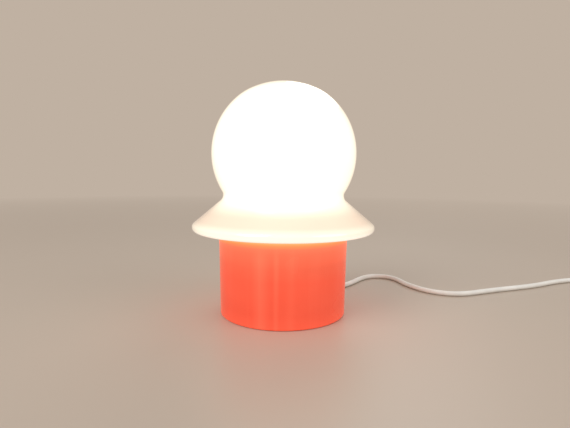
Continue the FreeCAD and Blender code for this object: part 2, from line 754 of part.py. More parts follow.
def bulb_curve(inset):
    """Joints of the bulb's outline: ball, hollow neck, drawn inset from its outer face."""
    rise = BULB_CENTRE_Z - BULB_NECK_Z
    hollow = (rise**2 + BULB_NECK_RADIUS**2 - BULB_RADIUS**2) / (2 * (BULB_RADIUS - BULB_NECK_RADIUS))
    latitude = math.degrees(math.asin(rise / (BULB_RADIUS + hollow)))
    ball = BULB_RADIUS - inset
    neck_centre = (BULB_NECK_RADIUS + hollow, BULB_NECK_Z)
    return {
        "pole": (0, BULB_CENTRE_Z + ball),
        "ball_middle": polar((0, BULB_CENTRE_Z), ball, 20),
        "ball_end": polar((0, BULB_CENTRE_Z), ball, -latitude),
        "neck_middle": polar(neck_centre, hollow + inset, 180 - latitude / 2),
        "neck_end": (BULB_NECK_RADIUS - inset, BULB_NECK_Z),
    }


def bulb_glass():
    """Round bulb whose neck sits in the metal cap."""
    outer, inner = bulb_curve(0.0), bulb_curve(BULB_GLASS_WALL)
    in_cap = CAP_RADIUS - CAP_WALL - 0.1
    bottom_z = CAP_TOP_Z - 4.0
    return turned(
        outer["pole"],
        (outer["ball_middle"], outer["ball_end"]),
        (outer["neck_middle"], outer["neck_end"]),
        (BULB_NECK_RADIUS, CAP_TOP_Z + 0.5),
        (in_cap, CAP_TOP_Z),
        (in_cap, bottom_z),
        (in_cap - BULB_GLASS_WALL, bottom_z),
        (in_cap - BULB_GLASS_WALL, CAP_TOP_Z),
        inner["neck_end"],
        (inner["neck_middle"], inner["ball_end"]),
        (inner["ball_middle"], inner["pole"]),
    )


def bulb_cap():
    """Brass screw cap, a plain sleeve at its thread's mean size, drawn in at its foot."""
    hole_radius, foot_radius, foot_rise = 5.2, 6.2, 1.2
    inner = CAP_RADIUS - CAP_WALL
    return turned(
        (hole_radius, CAP_BOTTOM_Z),
        (foot_radius, CAP_BOTTOM_Z),
        (CAP_RADIUS, CAP_BOTTOM_Z + foot_rise),
        (CAP_RADIUS, CAP_TOP_Z),
        (inner, CAP_TOP_Z),
        (inner, CAP_BOTTOM_Z + foot_rise + 0.3),
        (hole_radius, CAP_BOTTOM_Z + CAP_WALL),
    )


def bulb_insulator():
    """Black glass cone between the cap and the tip."""
    low = BULB_TIP_Z + TIP_HEIGHT
    high = CAP_BOTTOM_Z
    narrow, wide, rim = 2.6, 5.6, 0.6
    return turned((0, low), (narrow, low), (wide, high - rim), (wide, high), (0, high))


def bulb_tip():
    """Solder tip."""
    top = BULB_TIP_Z + TIP_HEIGHT
    return turned((0, BULB_TIP_Z), ((1.5, BULB_TIP_Z + 0.4), (2.2, top)), (0, top))


def bulb_stem():
    """Glass stem flared out from the neck's foot to a pinched top."""
    low = CAP_TOP_Z - 3.0
    flare, waist, pinch = 5.0, 2.4, 2.0
    return turned(
        (0, low),
        (flare, low),
        (flare, low + 1.0),
        (waist, low + 7.0),
        (pinch, BULB_STEM_TOP_Z),
        (0, BULB_STEM_TOP_Z),
    )


def bulb_leads():
    """Two lead wires from the stem to the ends of the filament."""
    wire_radius, foot_offset = 0.3, 1.2
    pair = []
    for side in (-1, 1):
        foot = Vector(side * foot_offset, 0, BULB_STEM_TOP_Z + wire_radius / 2)
        head = Vector(side * FILAMENT_HALF_SPAN, 0, FILAMENT_Z)
        pair.append(Part.makeCylinder(wire_radius, (head - foot).Length, foot, head - foot))
    return Part.Compound(pair)


def bulb_filament():
    """Filament bowed up between the two leads."""
    coil_radius, bow = 0.4, 2.5
    half = FILAMENT_HALF_SPAN - 0.5
    low = FILAMENT_Z + 0.5
    arc = Part.Arc(Vector(-half, 0, low), Vector(0, 0, low + bow), Vector(half, 0, low)).toShape()
    return swept([arc], coil_radius)


def droop_point(reach):
    """Point at a distance from the Z axis on the drooping boot's axis carried on."""
    return radial(reach, EXIT_Z - (reach - BOOT_ROOT_REACH) * math.tan(math.radians(BOOT_DROOP)))


LEAD_ROUTE = [
    droop_point(BOOT_TIP_REACH),
    droop_point(100),
    (81, 94.5, 2.7),
    (103, 127.5, 2.7),
    (123.5, 134.5, 2.7),
    (142, 122.5, 2.7),
    (147, 91.5, 2.7),
    (164, 60.5, 2.7),
    (194, 49, 2.7),
    (239, 69, 2.7),
    (297.5, 89, 2.7),
    (339.5, 113, 2.7),
    (377, 124, 2.7),
    (404, 114, 3.5),
    (414, 88, 8.0),
    (414, 60, 8.0),
]
LINK_ROUTE = [(414, 16, 8.0), (414, -1, 8.0), (412, -17, 3.6), (412, -29, 3.6)]
END_ROUTE = [
    (494.9, -29, 9.5),
    (494.9, -17, 9.5),
    (498, 1, 4.6),
    (503, 19, 2.8),
    (503.5, 37, 3.1),
    (499, 53, 6.9),
    (499, 66, 6.9),
]


def biarc(start, heading, end, end_heading):
    """Two arcs that join two points with a given heading at each."""
    chord = end - start
    both = heading + end_heading
    along = chord.dot(both)
    spread = 2 * (1 - heading.dot(end_heading))
    reach = (-along + math.sqrt(along**2 + spread * chord.dot(chord))) / spread
    joint = (start + end + (heading - end_heading) * reach) * 0.5
    arcs = []
    for a, tangent, b in ((start, heading, joint), (end, -end_heading, joint)):
        corner = a + tangent * reach
        back = unit(a - corner)
        ahead = unit(b - corner)
        turn = math.pi - back.getAngle(ahead)
        radius = reach / math.tan(turn / 2)
        middle = corner + unit(back + ahead) * radius * (1 / math.cos(turn / 2) - 1)
        arcs.append((a, middle, b))
    first, second = arcs
    return [Part.Arc(*first).toShape(), Part.Arc(*reversed(second)).toShape()]


def coil_edges():
    """Centreline of the coil: in by half turns, up a layer in the innermost one, and out again."""
    z = CORD_RADIUS + COIL_LIFT
    x = COIL_START_X
    side = 1
    radii_in = [COIL_OUTER_RADIUS - k * COIL_PITCH / 2 for k in range(COIL_HALF_TURNS_IN)]
    climb_radius = COIL_OUTER_RADIUS - COIL_HALF_TURNS_IN * COIL_PITCH / 2
    edges = [Part.LineSegment(Vector(x, COIL_Y + COIL_STUB, z), Vector(x, COIL_Y, z)).toShape()]
    for radius in radii_in + [climb_radius] + radii_in[::-1]:
        heading = ALONG_Y * -side
        start = Vector(x, COIL_Y, z)
        crest = Vector(x + side * radius, COIL_Y - side * radius, z)
        crest_heading = ALONG_X * side
        end = Vector(x + 2 * side * radius, COIL_Y, z)
        if radius == climb_radius:
            crest.z += COIL_PITCH / 2
            end.z += COIL_PITCH
            crest_heading = unit(crest_heading + UP * (1.5 * COIL_PITCH / (math.pi * radius)))
            z = end.z
        edges += biarc(start, heading, crest, crest_heading)
        edges += biarc(crest, crest_heading, end, -heading)
        x = end.x
        side = -side
    edges.append(Part.LineSegment(Vector(x, COIL_Y, z), Vector(x, COIL_Y + COIL_STUB, z)).toShape())
    return edges


def least_gap(edges, radius, spacing=2.0, apart=20.0):
    """Least gap between stretches of a tube that are further apart than this along it."""
    points = []
    for edge in edges:
        count = max(2, int(edge.Length / spacing))
        points += edge.discretize(count)[:-1]
    travelled = [0.0]
    for a, b in zip(points, points[1:]):
        travelled.append(travelled[-1] + (b - a).Length)
    nearest = min(
        (points[i] - points[j]).Length
        for i in range(len(points))
        for j in range(i + 1, len(points))
        if travelled[j] - travelled[i] > apart
    )
    return nearest - 2 * radius


def cord_coil():
    """Neat two-layer coil of the lead that is put away."""
    edges = coil_edges()
    tube = swept(edges, CORD_RADIUS)
    length = sum(edge.Length for edge in edges)
    share = tube.Volume / (math.pi * CORD_RADIUS**2 * length)
    end = edges[-1].Vertexes[-1].Point
    print(f"cord_coil: length {length:.1f} mm, volume over section by length {share:.4f}")
    print(f"cord_coil: least gap to itself {least_gap(edges, CORD_RADIUS):.2f} mm, ends at {end}")
    return tube


def coil_tie():
    """Flat strap round the bundle of turns on the coil's near side."""
    middle_x = COIL_START_X + COIL_OUTER_RADIUS + COIL_PITCH / 2
    half_width, thickness, corner = 4.0, 0.8, 0.7
    innermost = COIL_OUTER_RADIUS - (COIL_HALF_TURNS_IN - 1) * COIL_PITCH / 2
    near_y = COIL_Y - COIL_OUTER_RADIUS - CORD_RADIUS - 0.3
    far_y = COIL_Y - innermost + CORD_RADIUS + 1.2
    low_z = COIL_LIFT - 0.05
    high_z = COIL_LIFT + COIL_PITCH + 2 * CORD_RADIUS + 0.2
    inside = box((middle_x - 2 * half_width, near_y, low_z), (middle_x + 2 * half_width, far_y, high_z))
    outside = box(
        (middle_x - half_width, near_y - thickness, low_z - thickness),
        (middle_x + half_width, far_y + thickness, high_z + thickness),
    )
    long_edges = [edge for edge in outside.Edges if abs(edge.Length - 2 * half_width) < 0.01]
    return outside.makeFillet(corner, long_edges).cut(inside)


def switch_half(low, high):
    """Half of the switch case as a hollow block, open at the split."""
    length, width, wall = SWITCH_HALF_LENGTH, SWITCH_HALF_WIDTH, SWITCH_WALL
    corner, lower_round, upper_round = 5.0, 1.6, 2.6
    block = rounded_box((-width, -length, low), (width, length, high), corner)
    bottom = low == 0
    face_z = low if bottom else high
    rim = [
        edge
        for edge in block.Edges
        if all(abs(vertex.Z - face_z) < 0.01 for vertex in edge.Vertexes)
    ]
    block = block.makeFillet(lower_round if bottom else upper_round, rim)
    hollow_low = wall if bottom else low - 1
    hollow_high = high + 1 if bottom else high - wall
    hollow = rounded_box(
        (wall - width, wall - length, hollow_low),
        (width - wall, length - wall, hollow_high),
        corner - wall,
    )
    return block.cut(hollow)


def switch_entries():
    """Round channels for the lead at both ends of the switch."""
    channel = switch_channel()
    middle = SWITCH_HALF_LENGTH - 9.0
    core = box((-SWITCH_HALF_WIDTH, -middle, 0), (SWITCH_HALF_WIDTH, middle, SWITCH_TOP_Z))
    return channel.cut(core)


def switch_channel():
    """Round channel for the lead along the whole switch."""
    reach = SWITCH_HALF_LENGTH + 1
    return Part.makeCylinder(CORD_RADIUS + 0.1, 2 * reach, Vector(0, -reach, SWITCH_SPLIT_Z), ALONG_Y)


def switch_posts(low, high, hole_radius, hole_low, hole_high):
    """Pairs of posts for the case screws, one on each side of the lead at opposite corners."""
    posts = []
    for x, y in SWITCH_POSTS:
        post = cylinder(SWITCH_POST_RADIUS, low, high, x, y)
        posts.append(post.cut(cylinder(hole_radius, hole_low, hole_high, x, y)))
    return posts


def switch_base():
    """Lower half of the switch case, with ribs that grip the lead."""
    base = switch_half(0.0, SWITCH_SPLIT_Z)
    shank = SMALL_SCREW[0] + SCREW_CLEARANCE
    head = SMALL_SCREW[1] + SCREW_CLEARANCE
    base = base.fuse(switch_posts(1.0, SWITCH_SPLIT_Z, shank, -1, SWITCH_SPLIT_Z + 1))
    for x, y in SWITCH_POSTS:
        base = base.cut(cylinder(shank, -1, SWITCH_SPLIT_Z, x, y))
        base = base.cut(cylinder(head, -1, SWITCH_SCREW_SINK + 0.1, x, y))
    rib_y, half_width, half_thickness = 25.5, 5.0, 0.8
    for y in (-rib_y, rib_y):
        rib = box(
            (-half_width, y - half_thickness, 1.0),
            (half_width, y + half_thickness, SWITCH_SPLIT_Z - 0.2),
        )
        base = base.fuse(rib)
    return base.cut(switch_channel()).removeSplitter()


def switch_cover():
    """Upper half of the switch case, with the rocker's opening and lugs for its pin."""
    cover = switch_half(SWITCH_SPLIT_Z, SWITCH_TOP_Z)
    opening = box(
        (-ROCKER_HALF_WIDTH - ROCKER_GAP, -ROCKER_REACH - ROCKER_GAP, SWITCH_SPLIT_Z - 1),
        (ROCKER_HALF_WIDTH + ROCKER_GAP, ROCKER_REACH + ROCKER_GAP, SWITCH_TOP_Z + 1),
    )
    lug_inner, lug_half_width = ROCKER_HALF_WIDTH + ROCKER_GAP, 3.0
    top = SWITCH_TOP_Z - 1.0
    for side in (-1, 1):
        x_low, x_high = sorted((side * lug_inner, side * (SWITCH_HALF_WIDTH - 1)))
        lug = box((x_low, -lug_half_width, SWITCH_SPLIT_Z + 1.0), (x_high, lug_half_width, top))
        cover = cover.fuse(lug)
    pilot = SMALL_SCREW[0] + SCREW_FIT
    cover = cover.fuse(switch_posts(SWITCH_SPLIT_Z, top, pilot, 0, SWITCH_SCREW_END_Z + 1))
    pin_hole = across_switch(ROCKER_PIN_RADIUS + 0.02, ROCKER_PIN_REACH)
    return cover.cut(opening).cut(pin_hole).cut(switch_entries()).removeSplitter()


def across_switch(radius, reach):
    """Cylinder on the rocker's axis."""
    return Part.makeCylinder(radius, 2 * reach, Vector(-reach, 0, ROCKER_AXIS_Z), ALONG_X)


def rocker_pin():
    """Steel pin that the rocker turns on, held in the cover's lugs."""
    return across_switch(ROCKER_PIN_RADIUS, ROCKER_PIN_REACH - 0.1)


def tilted(shape):
    """Turns a piece of the rocker to the position that it has when the lamp is on."""
    copy = shape.copy()
    copy.rotate(Vector(0, 0, ROCKER_AXIS_Z), ALONG_X, -ROCKER_TILT)
    return copy


def switch_rocker():
    """Rocker with a shallow V top and round ends that turn in the cover's opening."""
    valley, rise, drop, tip_round = 3.3, 25.5, 8.0, 0.8
    high = polar((0, 0), ROCKER_REACH, rise)
    low = polar((0, 0), ROCKER_REACH, -drop)
    edge = (ROCKER_REACH, 0)
    face = outline(
        (0, valley), high, (edge, low), (-low[0], low[1]), ((-edge[0], 0), (-high[0], high[1]))
    )
    body = face.extrude(ALONG_Y * (2 * ROCKER_HALF_WIDTH))
    tips = [
        edge
        for edge in body.Edges
        if abs(edge.Length - 2 * ROCKER_HALF_WIDTH) < 0.01 and edge.Vertexes[0].Z > valley + 0.5
    ]
    body = body.makeFillet(tip_round, tips)
    body.translate(Vector(0, -ROCKER_HALF_WIDTH, ROCKER_AXIS_Z))
    body.rotate(ORIGIN, UP, 90)
    hub = across_switch(BLADE_DROP, ROCKER_HALF_WIDTH)
    bore = across_switch(ROCKER_PIN_RADIUS + 0.05, ROCKER_HALF_WIDTH + 1)
    return tilted(body.fuse(hub).cut(bore).removeSplitter())


def switch_blade():
    """Brass blade under the rocker that bridges the two fixed contacts when the lamp is on."""
    top = ROCKER_AXIS_Z - BLADE_DROP
    half_width, heel, toe = 4.0, -1.5, 9.0
    return tilted(box((-half_width, heel, top - BLADE_THICKNESS), (half_width, toe, top)))


def blade_low_z(y):
    """Height of the blade's underside at a distance along it, with the lamp on."""
    drop = BLADE_DROP + BLADE_THICKNESS
    tilt = math.radians(ROCKER_TILT)
    return ROCKER_AXIS_Z - drop / math.cos(tilt) - y * math.tan(tilt)


def switch_contacts():
    """Two fixed contact strips on the floor, each bent up under one edge of the blade."""
    thickness, bend_radius, width = 0.6, 0.9, 2.4
    reach, far_reach, tail_z, near_reach = 8.0, -10.0, 5.6, 1.5
    top = blade_low_z(reach + thickness) - 0.1
    floor = SWITCH_WALL + thickness / 2
    upright = [(reach, floor), (reach, top)]
    strips = []
    for side, start in (
        (-1, [(near_reach, floor)]),
        (1, [(far_reach, tail_z), (far_reach, floor)]),
    ):
        strip = bent_strip(start + upright, thickness, bend_radius, width)
        strip.rotate(ORIGIN, UP, 90)
        strips.append(moved(strip, side * CONTACT_OFFSET, 0))
    return Part.Compound(strips)


def switch_wires():
    """Brown wire ends to the two strips, and the blue wire that runs through."""
    z = SWITCH_SPLIT_Z
    inlet, outlet = LEAD_ROUTE[-1][1] - SWITCH_Y, LINK_ROUTE[0][1] - SWITCH_Y
    offset, side_x, side_z, low_z = WIRE_OFFSET, -7.4, 5.0, 4.4
    through = [
        (-offset, inlet, z),
        (-offset, inlet - 4, z),
        (side_x, inlet - 9, side_z),
        (side_x - 0.2, 0, low_z),
        (side_x, outlet + 9, side_z),
        (-offset, outlet + 4, z),
        (-offset, outlet, z),
    ]
    brown_in = [
        (offset, inlet, z),
        (offset, inlet - 3.5, z),
        (-CONTACT_OFFSET, 12.5, low_z),
        (-CONTACT_OFFSET, 8.3, low_z),
    ]
    brown_out = [
        (offset, outlet, z),
        (offset, outlet + 3.5, z),
        (CONTACT_OFFSET, -13.0, low_z),
        (CONTACT_OFFSET, -10.3, low_z),
    ]
    wires = []
    for points in (through, brown_in, brown_out):
        edges = route_edges([Vector(*point) for point in points])
        wires.append(swept(edges, WIRE_RADIUS))
    return Part.Compound(wires)


def switch_screws():
    """Two screws that hold the halves of the switch together, heads sunk below."""
    pair = [screw(SMALL_SCREW, SWITCH_SCREW_SINK, SWITCH_SCREW_END_Z, x, y) for x, y in SWITCH_POSTS]
    return Part.Compound(pair)


def in_switch(shape):
    """Puts a piece of the switch where the switch lies."""
    return moved(shape, SWITCH_X, SWITCH_Y)


def plug_section(y, half_width, half_height):
    """Rounded upright section of the plug."""
    radius = 0.62 * half_height
    block = rounded_box((-half_width, -half_height, 0), (half_width, half_height, 1), radius)
    face = [f for f in block.Faces if abs(f.CenterOfMass.z) < 0.01][0]
    wire = face.OuterWire.copy()
    wire.rotate(ORIGIN, ALONG_X, 90)
    wire.translate(Vector(PLUG_X, y, PLUG_AXIS_Z))
    return wire


def plug_body():
    """Moulded two-pin plug: flat body that narrows to a ribbed boot."""
    body_length = PLUG_FACE_Y - PLUG_BODY_Y
    half = PLUG_AXIS_Z - 0.05
    sections = [
        plug_section(PLUG_BODY_Y, 8.0, 5.4),
        plug_section(PLUG_BODY_Y + 0.35 * body_length, 13.6, half - 0.3),
        plug_section(PLUG_BODY_Y + 0.8 * body_length, 17.6, half),
        plug_section(PLUG_FACE_Y, 17.7, half),
    ]
    body = Part.makeLoft(sections, True, False)
    boot = ribbed_taper(BOOT_TIP_RADIUS, PLUG_NECK_RADIUS, PLUG_BODY_Y - PLUG_BOOT_Y + 1.0, 5)
    boot.rotate(ORIGIN, ALONG_X, -90)
    boot.translate(Vector(PLUG_X, PLUG_BOOT_Y, PLUG_AXIS_Z))
    plug = body.fuse(boot)
    depth = PIN_ROOT + 0.5
    for x in pin_places():
        start = Vector(x, PLUG_FACE_Y - depth, PLUG_AXIS_Z)
        plug = plug.cut(Part.makeCylinder(PIN_CORE_RADIUS + 0.05, depth + 1, start, ALONG_Y))
    return plug.removeSplitter()


def pin_places():
    return (PLUG_X - PIN_SPACING / 2, PLUG_X + PIN_SPACING / 2)


def along_plug(solid, x):
    """Lays a piece turned about Z along a plug pin's axis, Z = 0 at the plug's face."""
    copy = solid.copy()
    copy.rotate(ORIGIN, ALONG_X, -90)
    copy.translate(Vector(x, PLUG_FACE_Y, PLUG_AXIS_Z))
    return copy


def plug_pins():
    """Two pins: a thin core inside the sleeve, a full-size tip with a round end."""
    pin = turned(
        (0, -PIN_ROOT),
        (PIN_CORE_RADIUS, -PIN_ROOT),
        (PIN_CORE_RADIUS, PIN_SLEEVE_LENGTH),
        (PIN_RADIUS, PIN_SLEEVE_LENGTH),
        (PIN_RADIUS, PIN_LENGTH - PIN_RADIUS),
        (polar((0, PIN_LENGTH - PIN_RADIUS), PIN_RADIUS, 45), (0, PIN_LENGTH)),
    )
    return Part.Compound([along_plug(pin, x) for x in pin_places()])


def pin_sleeves():
    """Insulating sleeve over the root of each pin."""
    sleeve = pipe(PIN_SLEEVE_RADIUS, PIN_CORE_RADIUS + 0.02, 0, PIN_SLEEVE_LENGTH)
    return Part.Compound([along_plug(sleeve, x) for x in pin_places()])


def build():
    """Every piece of the lamp under its node's name."""
    return {
        "base_drum": drum(),
        "ballast_plate": ballast_plate(),
        "rubber_feet": feet(),
        "plate_screws": plate_screws(),
        "holder_bracket": holder_bracket(),
        "bracket_screws": bracket_screws(),
        "stem_tube": stem_tube(),
        "stem_nut": stem_nut(),
        "stem_washer": stem_washer(),
        "holder_cap": holder_cap(),
        "holder_shell": holder_shell(),
        "holder_core": holder_core(),
        "thread_sleeve": thread_sleeve(),
        "centre_contact": centre_contact(),
        "terminal_screws": terminal_screws(),
        "cord_boot": cord_boot(),
        "cord_clamp": cord_clamp(),
        "clamp_screws": clamp_screws(),
        "inner_cord": inner_cord(),
        "live_wire": holder_wire(1),
        "neutral_wire": holder_wire(-1),
        "glass_shade": glass_shade(),
        "bulb_glass": bulb_glass(),
        "bulb_cap": bulb_cap(),
        "bulb_insulator": bulb_insulator(),
        "bulb_tip": bulb_tip(),
        "bulb_stem": bulb_stem(),
        "bulb_leads": bulb_leads(),
        "bulb_filament": bulb_filament(),
        "cord_lead": cord_tube("cord_lead", LEAD_ROUTE),
        "cord_link": cord_tube("cord_link", LINK_ROUTE),
        "cord_coil": cord_coil(),
        "cord_end": cord_tube("cord_end", END_ROUTE),
        "coil_tie": coil_tie(),
        "switch_base": in_switch(switch_base()),
        "switch_cover": in_switch(switch_cover()),
        "switch_rocker": in_switch(switch_rocker()),
        "rocker_pin": in_switch(rocker_pin()),
        "switch_blade": in_switch(switch_blade()),
        "switch_contacts": in_switch(switch_contacts()),
        "switch_wires": in_switch(switch_wires()),
        "switch_screws": in_switch(switch_screws()),
        "plug_body": plug_body(),
        "plug_pins": plug_pins(),
        "pin_sleeves": pin_sleeves(),
    }


os.makedirs("parts", exist_ok=True)
for node, shape in build().items():
    shape.exportStep(f"parts/{node}.step")
    print(f"{node}: {len(shape.Solids)} solids, valid {shape.isValid()}")
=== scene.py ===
import json
import math

import bpy
from mathutils import Matrix, Vector


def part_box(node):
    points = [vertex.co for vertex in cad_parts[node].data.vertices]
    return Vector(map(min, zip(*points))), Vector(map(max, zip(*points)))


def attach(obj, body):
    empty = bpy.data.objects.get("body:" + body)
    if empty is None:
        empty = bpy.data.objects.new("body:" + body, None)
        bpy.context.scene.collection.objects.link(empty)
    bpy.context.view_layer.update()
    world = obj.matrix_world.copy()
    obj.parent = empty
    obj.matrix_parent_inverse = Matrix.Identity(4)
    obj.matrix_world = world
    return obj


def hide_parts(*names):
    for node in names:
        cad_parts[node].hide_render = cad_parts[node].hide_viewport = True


# Mushroom table lamp: opal glass shade on a translucent coral drum, with its lead, switch and plug.
# Metres, +Z up, origin on the table under the middle of the drum; the camera looks along +Y.

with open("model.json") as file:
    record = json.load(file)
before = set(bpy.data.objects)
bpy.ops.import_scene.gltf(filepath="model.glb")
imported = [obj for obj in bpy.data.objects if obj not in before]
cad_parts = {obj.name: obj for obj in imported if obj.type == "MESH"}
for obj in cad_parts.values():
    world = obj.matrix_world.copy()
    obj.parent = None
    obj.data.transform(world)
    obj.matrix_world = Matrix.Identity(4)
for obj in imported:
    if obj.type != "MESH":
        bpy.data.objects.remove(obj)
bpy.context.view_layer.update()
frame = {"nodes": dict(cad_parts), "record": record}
nodes = frame["nodes"]

# Camera, fitted to the drum's and the brim's outlines: sensor in millimetres, angles in radians
IMAGE_WIDTH = 570
FOCAL_PIXELS = 432.04
SENSOR_WIDTH = 36.0
CAMERA_PLACE = Vector((0.0, -0.41304, 0.13297))
CAMERA_PITCH = 0.0936
CAMERA_ROLL = 0.0097
CAMERA_YAW = 0.0038

# Lead
CORD_DIAMETER = 0.0054
LEAD_ROUTE = [
    (0.05657, 0.06741, 0.00468),
    (0.06428, 0.07660, 0.00299),
    (0.0810, 0.0945, 0.0027),
    (0.1030, 0.1275, 0.0027),
    (0.1235, 0.1345, 0.0027),
    (0.1420, 0.1225, 0.0027),
    (0.1470, 0.0915, 0.0027),
    (0.1640, 0.0605, 0.0027),
    (0.1940, 0.0490, 0.0027),
    (0.2390, 0.0690, 0.0027),
    (0.2975, 0.0890, 0.0027),
    (0.3395, 0.1130, 0.0027),
    (0.3770, 0.1240, 0.0027),
    (0.4040, 0.1140, 0.0035),
    (0.4140, 0.0880, 0.0080),
    (0.4140, 0.0600, 0.0080),
]
LINK_ROUTE = [
    (0.4140, 0.0160, 0.0080),
    (0.4140, -0.0010, 0.0080),
    (0.4120, -0.0170, 0.0036),
    (0.4120, -0.0290, 0.0036),
]
END_ROUTE = [
    (0.4949, -0.0290, 0.0095),
    (0.4949, -0.0170, 0.0095),
    (0.4980, 0.0010, 0.0046),
    (0.5030, 0.0190, 0.0028),
    (0.5035, 0.0370, 0.0031),
    (0.4990, 0.0530, 0.0069),
    (0.4990, 0.0660, 0.0069),
]
COIL_START_X = 0.4120
COIL_Y = -0.0350
COIL_Z = 0.0036
COIL_OUTER_RADIUS = 0.0385
COIL_PITCH = 0.0059
COIL_HALF_TURNS_IN = 5
POINTS_PER_HALF_TURN = 8

# Screw thread of the bulb's cap and its sleeve
THREAD_PITCH = 0.002822
THREAD_DEPTH = 0.00055
BRASS_SHEET = 0.0004


def colour(red, green, blue):
    """Linear colour of a display colour given from 0 to 255."""
    linear = []
    for value in (red, green, blue):
        share = value / 255
        linear.append(share / 12.92 if share <= 0.04045 else ((share + 0.055) / 1.055) ** 2.4)
    return (*linear, 1.0)


# Colours
OPAL_WHITE = colour(250, 247, 238)
# Creamier body colour of the flare: painted shade where less of the bulb's light falls
OPAL_PAINTED_SHADE_CREAM = colour(242, 226, 208)
COAT_CREAM = colour(255, 250, 241)
# Painted glow of the shade by height, standing for the bulb's light through the glass
BALL_GLOW = colour(240, 238, 230)
FLARE_GLOW = colour(160, 148, 146)
RIM_GLOW = colour(182, 179, 171)
RIM_LOW_GLOW = colour(214, 214, 216)
CORAL = colour(238, 78, 55)
CORAL_LIGHT = colour(250, 104, 80)
# Colours of the drum's painted glow, standing for the shade's light on and through it
CORAL_INNER_GLOW = colour(238, 110, 80)
CORAL_WARM_GLOW = colour(255, 142, 104)
CORAL_GLOW = colour(255, 174, 102)
CORAL_EDGE_GLOW = colour(255, 186, 116)
PALE_VINYL = colour(242, 239, 232)
BACKGROUND = colour(192, 177, 162)
FLOOR = colour(196, 181, 166)
SOFT_WHITE = (1.0, 0.985, 0.965, 1.0)

# Soft lighter lines down the drum: angle from the front and half width in degrees, strength
DRUM_LINES = [(-18.0, 9.5, 0.5), (-5.4, 3.2, 0.4), (6.5, 6.0, 0.2)]

# Painted glow of the drum up its height, standing for the shade's light on and through it, with a painted
# lighter band at the foot: share of the height, colour, level
DRUM_PAINTED_GLOW = [
    (0.00, CORAL_INNER_GLOW, 0.42),
    (0.16, CORAL_INNER_GLOW, 0.31),
    (0.50, CORAL_INNER_GLOW, 0.38),
    (0.65, CORAL_WARM_GLOW, 0.31),
    (0.81, CORAL_WARM_GLOW, 0.50),
    (0.86, CORAL_WARM_GLOW, 0.62),
    (0.90, CORAL_GLOW, 0.68),
    (0.93, CORAL_EDGE_GLOW, 0.96),
    (1.00, CORAL_EDGE_GLOW, 1.0),
]


def camera():
    """Camera at its fitted place, turned from the level view along +Y."""
    sin_pitch, cos_pitch = math.sin(CAMERA_PITCH), math.cos(CAMERA_PITCH)
    sin_yaw, cos_yaw = math.sin(CAMERA_YAW), math.cos(CAMERA_YAW)
    forward = Vector((sin_yaw * cos_pitch, cos_yaw * cos_pitch, -sin_pitch))
    level_right = Vector((cos_yaw, -sin_yaw, 0.0))
    level_up = level_right.cross(forward)
    right = math.cos(CAMERA_ROLL) * level_right + math.sin(CAMERA_ROLL) * level_up
    up = math.cos(CAMERA_ROLL) * level_up - math.sin(CAMERA_ROLL) * level_right
    data = bpy.data.cameras.new("camera")
    data.sensor_width = SENSOR_WIDTH
    data.lens = FOCAL_PIXELS * SENSOR_WIDTH / IMAGE_WIDTH
    data.clip_start = 0.01
    holder = bpy.data.objects.new("camera", data)
    turn = Matrix((right, up, -forward)).transposed().to_4x4()
    holder.matrix_world = Matrix.Translation(CAMERA_PLACE) @ turn
    bpy.context.scene.collection.objects.link(holder)
    bpy.context.scene.camera = holder


def coil_points():
    """Control points of the coil: half turns inwards, a climb in the innermost one, and outwards."""
    radii_in = [COIL_OUTER_RADIUS - k * COIL_PITCH / 2 for k in range(COIL_HALF_TURNS_IN)]
    climb_radius = COIL_OUTER_RADIUS - COIL_HALF_TURNS_IN * COIL_PITCH / 2
    step = math.pi / POINTS_PER_HALF_TURN
    widen = 1 / math.cos(step / 2)
    points = []
    x, z, side = COIL_START_X, COIL_Z, 1
    for radius in radii_in + [climb_radius] + radii_in[::-1]:
        centre_x = x + side * radius
        for k in range(POINTS_PER_HALF_TURN):
            share = (k + 0.5) / POINTS_PER_HALF_TURN
            angle = math.pi * share
            lift = COIL_PITCH * share**2 * (3 - 2 * share) if radius == climb_radius else 0.0
            points.append(
                (
                    centre_x - side * widen * radius * math.cos(angle),
                    COIL_Y - side * widen * radius * math.sin(angle),
                    z + lift,
                )
            )
        if radius == climb_radius:
            z += COIL_PITCH
        x += 2 * side * radius
        side = -side
    return points


def cord(name, points, material):
    """Round cord along one smooth spline."""
    data = bpy.data.curves.new(name, "CURVE")
    data.dimensions = "3D"
    data.bevel_depth = CORD_DIAMETER / 2
    data.bevel_resolution = 6
    data.use_fill_caps = True
    spline = data.splines.new("NURBS")
    spline.points.add(len(points) - 1)
    for point, place in zip(spline.points, points):
        point.co = (*place, 1.0)
    spline.order_u = 3
    spline.use_endpoint_u = True
    spline.resolution_u = 12
    spline.use_smooth = True
    piece = bpy.data.objects.new(name, data)
    bpy.context.scene.collection.objects.link(piece)
    data.materials.append(material)
    return piece


